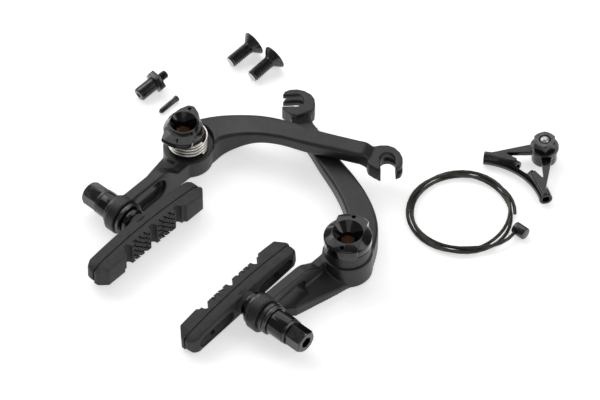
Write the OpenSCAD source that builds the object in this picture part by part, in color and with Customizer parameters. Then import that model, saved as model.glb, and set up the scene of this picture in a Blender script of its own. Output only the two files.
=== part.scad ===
// Centre-pull U brake for a small-wheeled bicycle, laid out flat with its loose hardware beside it.
// Millimetres. The origin lies midway between the two pivots, in the plane that the bosses rest on.
// +X runs from the left pivot to the right one, +Y towards the cable hooks, +Z up.

/* [Pivots] */
// Distance between the two pivot axes
pivot_spacing = 98.5; // [94:0.5:104]
// Radius of the arms' pivot bosses
boss_r = 11.5; // [11:0.1:13]
// Height of the left boss
boss_left_h = 10.7; // [9:0.1:12]
// Height of the right boss
boss_right_h = 12.9; // [11:0.1:14]
// Outer radius of the hub that carries the spring
hub_r = 7.1; // [6.6:0.1:7.3]
// Top of the hub above the table
hub_top = 19.6; // [17:0.1:21]
// Inner radius of the bronze bushing
bush_bore_r = 4.5; // [4:0.1:5]
// Wall of the bronze bushing
bush_wall = 1.4; // [1:0.1:1.6]

/* [Arms] */
// Width of the arm at the crossing
arm_w = 10; // [8:0.5:12]
// Underside of the upper arm at the crossing
cross_z = 13.1; // [12.9:0.1:15]
// Thickness of both arms at the crossing
arm_t = 7.4; // [6:0.1:8]
// Edge radius of the forging
arm_round = 1.5; // [0.8:0.1:2]
// Underside of the left hook
hook_z = 10.2; // [9:0.1:11]
// Thickness of the hooks
hook_t = 8; // [7:0.1:10]
// How much lower the right hook lies
hook_drop = 2; // [0:0.1:2.5]
// Radius of the hook's seat for the cable end
seat_r = 3.6; // [3.4:0.1:4]
// Height of the wire slot in the hook
wire_slot = 2.2; // [1.8:0.1:3]

/* [Lower legs] */
// Distance from pivot to pad stud, along the arm
stud_drop = 50.3; // [46:0.1:54]
// Height of the pad stud above the table
stud_z = 9.5; // [9.3:0.1:11]
// Radius of the eye at the leg's end
eye_r = 9.1; // [8.8:0.1:9.3]
// Inner face of the leg, from the pivot axis
leg_in = 8.25; // [7:0.05:9]
// Thickness of the leg
leg_t = 5.2; // [5:0.1:7]
// Height of the foot where it meets the leg
foot_h = 7.8; // [6:0.1:9]
// Height of the foot's outer edge
foot_edge = 2.4; // [1.5:0.1:4]
// Width of the adjusting slot
slot_w = 6.4; // [6.2:0.1:7]
// Upper end of the slot, from the pivot axis
slot_end = 25; // [24:0.1:34]

/* [Pads] */
// Length of the brake block
pad_l = 70; // [60:0.5:72]
// Height of the brake block
pad_h = 12.2; // [11:0.1:13]
// Radius of the rim that the block's upper side follows
rim_r = 200; // [180:5:320]
// How far the right block is turned on its stud, its near end down
pad_turn = 4.5; // [0:0.5:8]
// Depth of the brake block
pad_d = 11.6; // [10:0.1:13]
// Depth of the pockets in the block's back
pocket_d = 3.6; // [2:0.1:4.5]
// Radius of the pad stud
stud_r = 3; // [2.5:0.1:3]
// Thickness of the cup washers
cup_t = 2.4; // [2:0.1:3]
// Radius of the cup washers
cup_r = 8; // [7.6:0.1:8.4]
// Thickness of the inner ball washer
ball_t = 3.1; // [2.5:0.1:4]
// Thickness of the left outer spacer
spacer_left_t = 5.6; // [4:0.1:7]
// Thickness of the right outer spacer
spacer_right_t = 9.2; // [4:0.1:10]
// Thickness of the shim under the right outer cup
shim_t = 2.4; // [1:0.1:3]
// Radius of the ball washer and of the spacer
ball_r = 6.3; // [6:0.1:7]
// Thickness of the flat washer
washer_t = 1.2; // [0.8:0.1:1.6]
// Width of the pad nut across its flats
nut_af = 10; // [10:0.5:11]
// Length of the pad nut
nut_l = 8.5; // [7:0.1:10]
// Width of the nut's key socket across its flats
key_af = 5; // [4:0.5:5]

/* [Springs and caps] */
// Outer radius of the springs
spring_r = 9.3; // [9:0.1:9.4]
// Wire of the springs
spring_wire = 1.6; // [1.2:0.1:1.8]
// Turns of the springs
spring_turns = 4.5; // [3.5:0.25:5]
// Radius of the spring caps
cap_r = 12; // [11.5:0.1:13]
// Width of the spring caps across their flats
cap_af = 14.2; // [13.6:0.1:17]
// Height of the spring caps
cap_h = 6.6; // [6:0.1:8]
// Radius of the bore for the mounting screw
cap_bore_r = 3.2; // [3.1:0.1:3.5]
// Depth of the countersink
sink_d = 4.1; // [3.5:0.1:5]
// Height of the left cap's ring above its ears
ring_h = 1.2; // [0.8:0.1:2]
// Height of the round flange under the flats
flange_h = 3.2; // [1.5:0.1:4]
// Direction of the caps' ears from the X axis
ear_angle = 116; // [90:1:140]

/* [Mounting screws] */
// Length of a mounting screw
screw_l = 15; // [12:0.5:20]
// Radius of the screw's thread
screw_r = 3; // [2.5:0.1:3]
// Radius of the screw's head
screw_head_r = 6; // [5.5:0.1:6.5]

/* [Cable hanger] */
// Radius of the arch that the wire runs over
saddle_r = 33; // [30:0.5:38]
// Half angle of the arch
saddle_half = 35; // [30:1:38]
// Outer radius of the hanger's tubes
tube_r = 3.1; // [2.8:0.1:3.4]
// Inner radius of the hanger's tubes
tube_bore_r = 1.7; // [1.5:0.1:1.9]
// Distance from the arch's crown to the pinch bolt
hanger_rise = 14.5; // [13:0.5:18]
// Width of the hanger nut across its flats
hanger_nut_af = 9.5; // [9:0.5:11]

/* [Straddle wire] */
// Diameter of the wire
wire_d = 1.6; // [1.2:0.1:1.8]
// Middle radius of the coil as it lies
coil_r = 23.2; // [20:0.1:28]
// Width of the coil's turns side by side
coil_w = 4.4; // [3.4:0.1:5]
// Radius of the barrel end
barrel_r = 2.9; // [2.5:0.1:3.2]
// Length of the barrel end
barrel_l = 6.6; // [6:0.1:12]

/* [Hidden] */
$fn = 64;
// Clearance between pieces that are only laid or screwed together
gap = 0.05;
// Overlap of cuts past the faces that they open
eps = 0.5;
// Where the loose pieces lie
screw_place = [-73.1, 70.7];
anchor_place = [-92, 12.2];
crimp_place = [-78.7, 24];
black = [0.07, 0.07, 0.075];
dark = [0.13, 0.13, 0.14];
rubber = [0.2, 0.2, 0.2];
silver = [0.78, 0.77, 0.72];
bronze = [0.72, 0.45, 0.22];

// Left arm's frame: pivot at the origin, +x towards the other pivot. The right side is its mirror image.
module on_side(side) {
    if (side == "left")
        translate([-pivot_spacing / 2, 0, 0]) children();
    else
        mirror([1, 0, 0]) translate([-pivot_spacing / 2, 0, 0]) children();
}

// Axis along +x through the pad stud
module on_stud(x) {
    translate([x, -stud_drop, stud_z]) rotate([0, 90, 0]) children();
}

module hexagon(af, h) {
    cylinder(r = af / sqrt(3), h = h, $fn = 6);
}

// Ring section of the arm: a rounded rectangle of half width w between heights z0 and z1
function rounded_section(w, z0, z1, r) = [
    for (c = [[1, 0], [1, 1], [-1, 1], [-1, 0]], i = [0:3])
        let (
            turn = c[0] > 0 ? (c[1] == 0 ? -90 : 0) : (c[1] == 0 ? 180 : 90),
            a = turn + i * 30
        )
        [c[0] * (w - r) + r * cos(a), (c[1] == 0 ? z0 + r : z1 - r) + r * sin(a)]
];

function catmull(p, t) = 0.5 * (
    2 * p[1] + (p[2] - p[0]) * t
    + (2 * p[0] - 5 * p[1] + 4 * p[2] - p[3]) * t * t
    + (3 * p[1] - p[0] - 3 * p[2] + p[3]) * t * t * t
);

// Stations [x, y, half width, bottom, top] blended into a smooth row
function smooth_row(s, steps) = [
    for (i = [0:len(s) - 2], k = [0:steps - 1])
        catmull([s[max(i - 1, 0)], s[i], s[i + 1], s[min(i + 2, len(s) - 1)]], k / steps),
    s[len(s) - 1]
];

function heading(row, i) =
    let (
        a = row[max(i - 1, 0)],
        b = row[min(i + 1, len(row) - 1)],
        d = [b[0] - a[0], b[1] - a[1]]
    )
    d / norm(d);

// Loft through rounded sections that stand across the row's path
module loft(row, r) {
    n = 16;
    m = len(row);
    points = [
        for (i = [0:m - 1])
            let (d = heading(row, i))
            for (q = rounded_section(row[i][2], row[i][3], row[i][4], r))
                [row[i][0] + d[1] * q[0], row[i][1] - d[0] * q[0], q[1]]
    ];
    sides = [
        for (i = [0:m - 2], j = [0:n - 1], k = [0, 1])
            let (a = i * n + j, b = i * n + (j + 1) % n)
            k == 0 ? [a, b + n, a + n] : [a, b, b + n]
    ];
    start = [for (j = [n - 1:-1:0]) j];
    end = [for (j = [0:n - 1]) (m - 1) * n + j];
    polyhedron(points, concat([start], sides, [end]), convexity = 4);
}

// Centre line of the arm from boss to hook, with its half width there
arm_path = [
    [0.5, 4, 10], [3.9, 13.7, 7.6], [10.5, 21, 6.6], [19.7, 26.8, 6.1],
    [30.5, 31.4, 5.6], [43.4, 35.6, arm_w / 2]
];
// Share of the way down from the crossing level to the table, station by station
arm_fall = [1, 0.97, 0.78, 0.42, 0.15, 0];
// The left arm's underside rises sooner, so that it clears the other arm as they close
left_under_fall = [1, 0.92, 0.6, 0.2, 0.02, 0];
cross_low = cross_z - 0.5 - arm_t;
hook_top = hook_z + hook_t;

// The left arm passes over the right one and steps down to its hook
function left_stations() = [
    for (i = [0:len(arm_path) - 1])
        concat(arm_path[i], [cross_z * (1 - left_under_fall[i]), cross_z + arm_t - 6 * arm_fall[i]]),
    [55, 41, arm_w / 2 - 0.3, cross_z, cross_z + arm_t],
    [63.4, 44.9, arm_w / 2 - 0.3, cross_z, cross_z + arm_t],
    [66.6, 46.5, arm_w / 2 - 0.3, cross_z - 0.3, cross_z + arm_t - 0.1],
    [70, 48.1, arm_w / 2 - 0.5, hook_z + 0.4, hook_top + 0.1]
];
// The right arm passes under the left one and steps up to its hook
function right_stations() = [
    for (i = [0:len(arm_path) - 1])
        concat(arm_path[i], [cross_low * (1 - arm_fall[i]), cross_z - 0.5]),
    [55, 40.2, arm_w / 2 - 0.2, cross_low, cross_z - 0.5],
    [63, 42.6, arm_w / 2 - 0.2, cross_low, cross_z - 0.5],
    [67.6, 44.2, arm_w / 2 - 0.2, cross_low + 0.4, cross_z - 0.4],
    [71.6, 46.9, arm_w / 2 - 0.3, hook_z - hook_drop + 0.4, hook_top - hook_drop + 0.1]
];

// Hook in plan, round the seat for the cable end
seat = [77.4, 50.3];
mouth_angle = -45;
module hook_plan() {
    difference() {
        offset(r = 1.2) offset(delta = -1.2)
            polygon([
                [67.2, 51.4], [69.4, 54.6], [72, 56.9], [75, 57.8], [78.6, 57.4], [81.8, 55.8], [84, 53.5],
                [85, 51.1], [84.6, 49.2], [80.4, 43], [77, 42.4], [73, 42.2], [70.6, 43.6]
            ]);
        translate(seat) {
            circle(seat_r);
            rotate(mouth_angle) translate([0, -seat_r + 0.2]) square([16, 2 * seat_r - 0.4]);
        }
    }
}

module hook(drop) {
    translate([0, 0, -drop]) difference() {
        translate([0, 0, hook_z]) linear_extrude(hook_t) hook_plan();
        // Slit for the wire, from the tip of the outer finger round to the back of the seat
        translate([seat[0], seat[1], hook_z + (hook_t - wire_slot) / 2]) linear_extrude(wire_slot)
            rotate(mouth_angle) polygon([
                [0, -0.5], [14, -0.5], [14, 14], [-14, 14], [-14, -1.2], [0, -1.2]
            ]);
    }
}

// Lower leg: an upright plate that ends in the eye, with a flared foot towards the boss
module leg(boss_h) {
    top = stud_z + eye_r - 1.2;
    low = stud_z - eye_r;
    translate([leg_in - leg_t, 0, 0]) rotate([90, 0, 90]) linear_extrude(leg_t) {
        translate([-stud_drop, stud_z]) circle(eye_r);
        polygon([
            [-stud_drop, low], [-stud_drop, top], [-25, top], [-22, top - 1], [-15.5, boss_h - 0.6],
            [-8, boss_h - 0.6], [-8, low]
        ]);
    }
    // The foot is a low wedge that rises from its outer edge to the leg
    intersection() {
        linear_extrude(foot_h + low)
            polygon([[-8.5, -6], [-6, -18], [-1.6, -36], [leg_out, -41.3], [leg_in, -41.3], [leg_in, -6]]);
        rotate([90, 0, 0]) linear_extrude(42)
            polygon([[-9, low], [-9, foot_edge + low], [leg_out, foot_h + low], [leg_in, foot_h + low], [leg_in, low]]);
    }
}

// The slot ends a little below the stud, so the eye stays closed
slot_spare = 2;
// Panel sunk round the slot on the leg's inner face, deeper on the left
panel_left = 2.6;
panel_right = 0.9;
panel_r = 5.6;
panel_low = 39.5;
panel_high = 29;
module leg_cuts(panel_depth) {
    back = -stud_drop - slot_spare;
    front = -slot_end - slot_w / 2;
    translate([-15, 0, stud_z]) rotate([0, 90, 0]) {
        translate([0, back, 0]) cylinder(d = slot_w, h = 30);
        translate([0, front, 0]) cylinder(d = slot_w, h = 30);
        translate([-slot_w / 2, back, 0]) cube([slot_w, front - back, 30]);
    }
    translate([leg_in - panel_depth, 0, stud_z]) rotate([0, 90, 0]) {
        translate([0, -panel_low, 0]) cylinder(r = panel_r, h = leg_t);
        translate([0, -panel_high, 0]) cylinder(r = panel_r, h = leg_t);
        translate([-panel_r, -panel_low, 0]) cube([2 * panel_r, panel_low - panel_high, leg_t]);
    }
}

module boss(h) {
    cylinder(r1 = boss_r - 1.2, r2 = boss_r, h = 1.2);
    translate([0, 0, 1.2]) cylinder(r = boss_r, h = h - 1.2);
}

module arm_left() {
    color(black) on_side("left") difference() {
        union() {
            difference() {
                loft(smooth_row(left_stations(), 4), arm_round);
                translate([0, 0, boss_left_h]) cylinder(r = boss_r + 0.4, h = 20);
            }
            boss(boss_left_h);
            cylinder(r = hub_r, h = hub_top);
            leg(boss_left_h);
            hook(0);
        }
        translate([0, 0, -eps]) cylinder(r = bush_bore_r + bush_wall + 0.02, h = hub_top + 2 * eps);
        leg_cuts(panel_left);
    }
}

// The right boss has a collar round its spring
collar_r = 10.6;
recess_floor = 8;
module arm_right() {
    color(black) on_side("right") difference() {
        union() {
            loft(smooth_row(right_stations(), 4), arm_round);
            boss(boss_right_h);
            cylinder(r = collar_r, h = hub_top - 0.3);
            leg(boss_right_h);
            hook(hook_drop);
        }
        translate([0, 0, recess_floor]) difference() {
            cylinder(r = spring_r + 0.35, h = hub_top);
            translate([0, 0, -eps]) cylinder(r = hub_r, h = hub_top - recess_floor + eps);
        }
        translate([0, 0, -eps]) cylinder(r = bush_bore_r + bush_wall + 0.02, h = hub_top + 2 * eps);
        leg_cuts(panel_right);
    }
}

module bushing(side) {
    color(bronze) on_side(side) difference() {
        cylinder(r = bush_bore_r + bush_wall, h = hub_top);
        translate([0, 0, -eps]) cylinder(r = bush_bore_r, h = hub_top + 2 * eps);
    }
}

// Closed coil spring: a round wire swept along a helix
module spring(side, floor) {
    sides = 7;
    per_turn = 20;
    r = spring_r - spring_wire / 2;
    rise = cap_z - 0.3 - floor - spring_wire;
    n = round(spring_turns * per_turn);
    points = [
        for (i = [0:n])
            let (a = 360 * i / per_turn, z = floor + spring_wire / 2 + rise * i / n)
            for (j = [0:sides - 1])
                let (b = 360 * j / sides)
                [(r + spring_wire / 2 * cos(b)) * cos(a), (r + spring_wire / 2 * cos(b)) * sin(a),
                 z + spring_wire / 2 * sin(b)]
    ];
    walls = [
        for (i = [0:n - 1], j = [0:sides - 1], k = [0, 1])
            let (p = i * sides + j, q = i * sides + (j + 1) % sides)
            k == 0 ? [p, q + sides, q] : [p, p + sides, q + sides]
    ];
    start = [for (j = [0:sides - 1]) j];
    end = [for (j = [sides - 1:-1:0]) n * sides + j];
    color(silver) on_side(side) polyhedron(points, concat([start], walls, [end]), convexity = 12);
}

// Height of the caps' underside, just above the hubs
cap_z = hub_top + 0.3;
// The left cap lies a little off its axis on the loose spring
cap_left_shift = [-1.5, -1.3];

// Bore, countersink of a depth and two ear holes, cut in a cap of height h
module cap_block(h, ear, depth) {
    hole_r = 1.1;
    difference() {
        children();
        translate([0, 0, -eps]) cylinder(r = cap_bore_r, h = h + 2 * eps);
        translate([0, 0, h - depth]) cylinder(r1 = cap_bore_r, r2 = cap_bore_r + depth * 0.95, h = depth + 0.01);
        for (x = [-ear, ear]) translate([x, 0, -eps]) cylinder(r = hole_r, h = h + 2 * eps, $fn = 32);
    }
}

module flatted_disc(r, af, h) {
    intersection() {
        union() {
            cylinder(r = r, h = h - 0.6);
            translate([0, 0, h - 0.6]) cylinder(r1 = r, r2 = r - 0.6, h = 0.6);
        }
        translate([-r - 1, -af / 2, -1]) cube([2 * r + 2, af, h + 2]);
    }
}

// Round flange that closes the spring's end
module cap_flange() {
    flange_r = cap_r - 1.2;
    cylinder(r1 = flange_r - 0.5, r2 = flange_r, h = 0.5);
    translate([0, 0, 0.5]) cylinder(r = flange_r, h = flange_h - 0.9);
    translate([0, 0, flange_h - 0.4]) cylinder(r1 = flange_r, r2 = flange_r - 0.4, h = 0.4);
}

// The left cap's ring stands above its ears, and the ear at +x is drawn in to a narrow lobe
module cap_left() {
    r = cap_r + 0.6;
    ring_r = cap_af / 2;
    lobe_w = 7;
    wide = cap_af / 2 + 1;
    color(black) translate([cap_left_shift[0] - pivot_spacing / 2, cap_left_shift[1], cap_z]) rotate(ear_angle)
        cap_block(cap_h, (r + ring_r) / 2 + 0.4, sink_d - 0.9) {
            union() {
                intersection() {
                    flatted_disc(r, cap_af, cap_h - ring_h);
                    translate([0, 0, -1]) linear_extrude(cap_h + 2)
                        polygon([
                            [-r - 1, -wide], [ring_r * 0.45, -wide], [r - 2.4, -lobe_w / 2], [r + 1, -lobe_w / 2],
                            [r + 1, lobe_w / 2], [r - 2.4, lobe_w / 2], [ring_r * 0.45, wide], [-r - 1, wide]
                        ]);
                }
                cylinder(r1 = ring_r + 0.3, r2 = ring_r - 0.1, h = cap_h);
                cap_flange();
            }
        }
}

// The right cap's ears are level with the edge of its countersink
module cap_right() {
    color(black) translate([pivot_spacing / 2, 0, cap_z]) rotate(ear_angle)
        cap_block(cap_h, (cap_r + cap_bore_r + sink_d) / 2, sink_d) {
            union() {
                flatted_disc(cap_r, cap_af, cap_h);
                cap_flange();
            }
        }
}

// Places along the stud, from the leg's faces outwards and inwards
leg_out = leg_in - leg_t;
ball_x = leg_in + cup_t;
neck_x = ball_x + ball_t;
pad_x = neck_x + 1.9;
function shim(side) = side == "right" ? shim_t : 0;
function spacer_t(side) = side == "right" ? spacer_right_t : spacer_left_t;
function spacer_x(side) = leg_out - shim(side) - cup_t - spacer_t(side);
function washer_x(side) = spacer_x(side) - washer_t;
function nut_x(side) = washer_x(side) - nut_l;

// Brake block in plan, with the back along x = 0 and the wearing face along x = pad_d
groove_pitch = 16.3;
module block_plan() {
    half = pad_l / 2;
    step = 1.2;
    difference() {
        polygon([
            [1.2, -half + 1], [3.6, -half], [7.6, -half], [pad_d, -half + 4], [pad_d, -groove_pitch - 4.2],
            [pad_d - step, -groove_pitch - 3.2], [pad_d - step, groove_pitch + 3.2],
            [pad_d, groove_pitch + 4.2], [pad_d, half - 4], [7.6, half], [3.6, half], [1.2, half - 1],
            [0, half - 3.6], [0, -half + 3.6]
        ]);
        for (i = [-1:1]) translate([pad_d - step, i * groove_pitch]) circle(1.7, $fn = 32);
        for (i = [-1.5, -0.5, 0.5, 1.5])
            translate([pad_d - step + 0.8, i * groove_pitch * 0.667]) circle(1.3, $fn = 32);
    }
}

// Upper side of the block from its side, at a distance u from its middle: it follows the rim
function pad_top(u) = sqrt(rim_r * rim_r - u * u) - rim_r + pad_h;

// Block from the side, with an inset and with its ends' corners cut
module block_side(inset, corner) {
    end = pad_l / 2 - inset;
    crown = [for (i = [-6:6]) let (u = (end - corner) * i / 6) [u, pad_top(u) - inset]];
    high_end = pad_top(end) - inset - corner * 0.8;
    polygon(concat(crown, [
        [end, high_end], [end, inset + corner * 0.8], [end - corner, inset],
        [corner - end, inset], [-end, inset + corner * 0.8], [-end, high_end]
    ]));
}

// Slice of the block between two depths
module block_slice(from, to, inset, corner) {
    translate([pad_x + from, -stud_drop, stud_z - pad_h / 2]) rotate([90, 0, 90])
        linear_extrude(to - from) block_side(inset, corner);
}

// Depth of the stud's blind hole in the block, from the neck's face
stud_hole = 9;
module pad(side) {
    half = pad_l / 2;
    lip = 2;
    // Seam between the block's back and its wearing part
    seam_x = 5.2;
    seam_w = 0.5;
    pocket_mid = (half + 4) / 2;
    turn = side == "right" ? pad_turn : 0;
    color(rubber) on_side(side)
        translate([0, -stud_drop, stud_z]) rotate([turn, 0, 0]) translate([0, stud_drop, -stud_z])
            difference() {
                union() {
                    intersection() {
                        translate([pad_x, -stud_drop, 0]) linear_extrude(2 * stud_z) block_plan();
                        union() {
                            block_slice(-1, seam_x, 0, 3.2);
                            block_slice(seam_x, seam_x + seam_w, 0.45, 2.4);
                            block_slice(seam_x + seam_w, pad_d + 1, 0, 1.2);
                        }
                    }
                    on_stud(neck_x) cylinder(r1 = 5.4, r2 = 6, h = pad_x - neck_x + pocket_d);
                }
                // Pockets in the back, either side of the neck
                for (s = [-1, 1])
                    translate([pad_x - eps, s * pocket_mid - stud_drop, stud_z + (pad_top(pocket_mid) - pad_h) / 2])
                        slot_pocket(pocket_d + eps, half - 14, pad_top(pocket_mid + 8) - 2 * lip);
                on_stud(neck_x - eps) cylinder(r = stud_r + gap, h = stud_hole + eps);
            }
}

// Pocket with round ends, opening towards -x
module slot_pocket(depth, length, height) {
    rotate([90, 0, 90]) linear_extrude(depth) {
        square([length - height / 2, height], center = true);
        for (s = [-1, 1]) translate([s * (length / 2 - height / 4), 0]) circle(height / 2);
    }
}

// Depth of the nut's key socket
key_depth = 4.2;
module stud(side) {
    start = nut_x(side) + key_depth;
    color(dark) on_side(side) on_stud(start) cylinder(r = stud_r, h = neck_x + stud_hole - gap - start);
}

module ring(r, hole, h) {
    difference() {
        cylinder(r = r, h = h);
        translate([0, 0, -eps]) cylinder(r = hole, h = h + 2 * eps);
    }
}

// Cup washer: a disc with a shallow round seat in its upper face
module cup(seat_d) {
    rotate_extrude() polygon([
        [stud_r + gap, 0], [cup_r - 0.4, 0], [cup_r, 0.4], [cup_r, cup_t - 0.4], [cup_r - 0.4, cup_t],
        [ball_r + 0.1, cup_t], [ball_r - 0.5, cup_t - seat_d], [stud_r + gap, cup_t - seat_d]
    ]);
}

// Ball washer: a collar whose lower end is turned down to sit in the cup
module collar(h, seat_d) {
    rotate_extrude() polygon([
        [stud_r + gap, -seat_d + gap], [ball_r - 0.6, -seat_d + gap], [ball_r, gap],
        [ball_r, h - 0.4], [ball_r - 0.4, h], [stud_r + gap, h]
    ]);
}

cup_seat = 0.7;
module inner_cup(side) {
    color(dark) on_side(side) on_stud(leg_in) cup(cup_seat);
}
module inner_ball(side) {
    color(black) on_side(side) on_stud(ball_x) collar(ball_t, cup_seat);
}
module outer_cup(side) {
    color(dark) on_side(side) on_stud(leg_out - shim(side)) mirror([0, 0, 1]) cup(cup_seat);
}
module spacer(side) {
    color(black) on_side(side) on_stud(leg_out - shim(side) - cup_t) mirror([0, 0, 1])
        collar(spacer_t(side), cup_seat);
}
module washer(side) {
    color(dark) on_side(side) on_stud(washer_x(side)) ring(6.1, stud_r + gap, washer_t);
}
module shim_right() {
    color(dark) on_side("right") on_stud(leg_out - shim_t) ring(cup_r - 0.6, stud_r + gap, shim_t);
}
module nut(side) {
    color(black) on_side(side) on_stud(nut_x(side)) difference() {
        intersection() {
            hexagon(nut_af, nut_l - gap);
            union() {
                cylinder(r1 = nut_af / 2 - 0.2, r2 = nut_af / 2 + 1, h = 1.2);
                translate([0, 0, 1.2]) cylinder(r = nut_af / 2 + 1, h = nut_l);
            }
        }
        translate([0, 0, -eps]) hexagon(key_af, key_depth + eps);
        translate([0, 0, key_depth - 0.1]) cylinder(r = stud_r + gap, h = nut_l);
    }
}

// A turned piece laid on the table: its axis is +x, and it rests on the two points [x, radius]
function lay_angle(a, b) = atan2(a[1] - b[1], b[0] - a[0]);
function lay_height(a, b) =
    (a[1] * (b[0] - a[0]) + a[0] * (a[1] - b[1])) / norm([b[0] - a[0], a[1] - b[1]]);
module laid(place, turn, a, b) {
    translate([place[0], place[1], lay_height(a, b)]) rotate(turn) rotate([0, lay_angle(a, b), 0]) children();
}

screw_end_r = screw_r - 0.5;
module mount_screw(place, turn) {
    head_rim = 0.5;
    cone = screw_head_r - screw_r;
    color(black) laid(place, turn, [head_rim, screw_head_r], [screw_l - 0.5, screw_r])
        rotate([0, 90, 0]) difference() {
            union() {
                cylinder(r = screw_head_r, h = head_rim);
                translate([0, 0, head_rim]) cylinder(r1 = screw_head_r, r2 = screw_r, h = cone);
                translate([0, 0, head_rim]) cylinder(r = screw_r, h = screw_l - head_rim - 0.5);
                translate([0, 0, screw_l - 0.5]) cylinder(r1 = screw_r, r2 = screw_end_r, h = 0.5);
            }
            translate([0, 0, -eps]) hexagon(4, 2.4 + eps);
        }
}

module mount_screw_1() {
    mount_screw(screw_place, -97);
}
module mount_screw_2() {
    mount_screw([screw_place[0] + 2.17 * screw_head_r, screw_place[1]], -95);
}

// Anchor stud: plain shank, hexagon flange and small threaded end
shank_r = 3.3;
shank_l = 9.3;
flange_af = 9.6;
flange_t = 3;
module anchor_stud() {
    thread_r = 2.1;
    thread_end = shank_l + flange_t + 4.2;
    color(black) laid(anchor_place, 84, [0.5, shank_r], [shank_l, flange_af / 2])
        rotate([0, 90, 0]) difference() {
            union() {
                cylinder(r1 = shank_r - 0.5, r2 = shank_r, h = 0.5);
                translate([0, 0, 0.5]) cylinder(r = shank_r, h = shank_l);
                translate([0, 0, shank_l]) rotate(30) hexagon(flange_af, flange_t);
                translate([0, 0, shank_l]) cylinder(r = thread_r, h = thread_end - shank_l);
                translate([0, 0, thread_end]) cylinder(r1 = thread_r, r2 = thread_r - 0.4, h = 0.4);
            }
            translate([0, 0, -eps]) cylinder(r = 1.25, h = 5 + eps, $fn = 32);
        }
}

// Crimp cap for the wire's cut end: a small tube, closed at one end and flared at its mouth
module cable_end_cap() {
    length = 11.6;
    color(black) laid(crimp_place, -90, [0.2, 1.55], [length - 1, 1.25])
        rotate([0, 90, 0]) rotate_extrude($fn = 40) polygon([
            [wire_d / 2 + 0.1, 0], [1.45, 0], [1.55, 0.2], [1.25, 2.4], [1.25, length - 1],
            [0.7, length], [0, length], [0, length - 1.5], [wire_d / 2 + 0.1, length - 2]
        ]);
}

// Cable hanger: an arch of two short tubes, carried by two legs from the ring round the pinch bolt
hanger_mid = [70.4, 96.6];
ring_z = 4.6;
ring_t = 2.6;
bolt_r = 2.7;
module hanger_yoke() {
    arch = [0, -saddle_r];
    foot = saddle_r * sin(saddle_half);
    drop = saddle_r * (1 - cos(saddle_half));
    color(dark) translate([hanger_mid[0], hanger_mid[1], tube_r]) difference() {
        union() {
            translate(arch) rotate(90 - saddle_half) rotate_extrude(angle = 2 * saddle_half, $fn = 96)
                translate([saddle_r, 0]) circle(tube_r, $fn = 32);
            translate([0, hanger_rise, ring_z - tube_r]) cylinder(r = 6.1, h = ring_t);
            for (s = [-1, 1]) translate([0, 0, ring_z - tube_r]) linear_extrude(ring_t - 0.3)
                polygon([
                    [s * 2.2, hanger_rise - 5], [s * 6, hanger_rise - 1.5], [s * (foot - 2.5), 2.6 - drop],
                    [s * foot, 1 - drop], [s * (foot - 1), -drop - 0.5], [s * 5, -0.5],
                    [s * 5.4, 1.6], [s * 11.5, 0.6]
                ]);
        }
        translate(arch) rotate(90 - saddle_half - 3) rotate_extrude(angle = 2 * saddle_half + 6, $fn = 96)
            translate([saddle_r, 0]) circle(tube_bore_r, $fn = 32);
        // Gap between the two tubes, over a narrow bridge
        translate([-3.6, -1.6, -tube_r - 1]) cube([7.2, 8, 2 * tube_r + 8]);
        translate([0, hanger_rise, -tube_r - 1]) cylinder(r = bolt_r + gap, h = 20);
    }
}
module at_bolt(z) {
    translate([hanger_mid[0], hanger_mid[1] + hanger_rise, z]) children();
}
nut_z = ring_z + ring_t + 1.6;
module hanger_bolt() {
    color(dark) at_bolt(0) {
        cylinder(r1 = 5.4, r2 = 5.9, h = 0.5);
        translate([0, 0, 0.5]) cylinder(r = 5.9, h = ring_z - 0.5 - gap);
        cylinder(r = bolt_r, h = nut_z + 3.4);
        translate([0, 0, nut_z + 3.4]) cylinder(r1 = bolt_r, r2 = bolt_r - 0.9, h = 0.9);
    }
}
module hanger_washer() {
    color(black) at_bolt(ring_z + ring_t) ring(6.6, bolt_r + gap, 1.5);
}
module hanger_nut() {
    af = hanger_nut_af;
    color(dark) at_bolt(nut_z) difference() {
        intersection() {
            rotate(12) hexagon(af, 4.4);
            union() {
                cylinder(r = af, h = 3.7);
                translate([0, 0, 3.7]) cylinder(r1 = af / 2 + 0.75, r2 = af / 2 - 0.1, h = 0.7);
            }
        }
        translate([0, 0, -eps]) cylinder(r = bolt_r + gap, h = 6);
    }
}

// The wire lies as a loose coil, and this is its envelope
coil_mid = [65, 59.7];
module straddle_cable() {
    bundle = 1.1 * wire_d;
    color(dark) translate([coil_mid[0], coil_mid[1], bundle]) rotate_extrude($fn = 96)
        translate([coil_r, 0]) scale([coil_w / 2 / bundle, 1]) circle(bundle, $fn = 24);
}
module cable_barrel() {
    // Clear of the coil at the barrel's near side
    x = coil_mid[0] + sqrt((coil_r + coil_w / 2 + gap) ^ 2 - (9 - barrel_r) ^ 2);
    color(black) translate([x, coil_mid[1] + 9, barrel_r]) rotate([0, 90, 0])
        cylinder(r = barrel_r, h = barrel_l);
}

arm_left();
arm_right();
bushing("left");  // bushing_left
bushing("right");  // bushing_right
spring("left", boss_left_h + 0.05);  // spring_left
spring("right", recess_floor + 0.05);  // spring_right
cap_left();
cap_right();
pad("left");  // pad_left
pad("right");  // pad_right
stud("left");  // stud_left
stud("right");  // stud_right
inner_ball("left");  // inner_ball_left
inner_ball("right");  // inner_ball_right
inner_cup("left");  // inner_cup_left
inner_cup("right");  // inner_cup_right
outer_cup("left");  // outer_cup_left
outer_cup("right");  // outer_cup_right
spacer("left");  // spacer_left
spacer("right");  // spacer_right
shim_right();
washer("left");  // washer_left
washer("right");  // washer_right
nut("left");  // nut_left
nut("right");  // nut_right
mount_screw_1();
mount_screw_2();
anchor_stud();
cable_end_cap();
hanger_yoke();
hanger_bolt();
hanger_washer();
hanger_nut();
straddle_cable();
cable_barrel();
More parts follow.
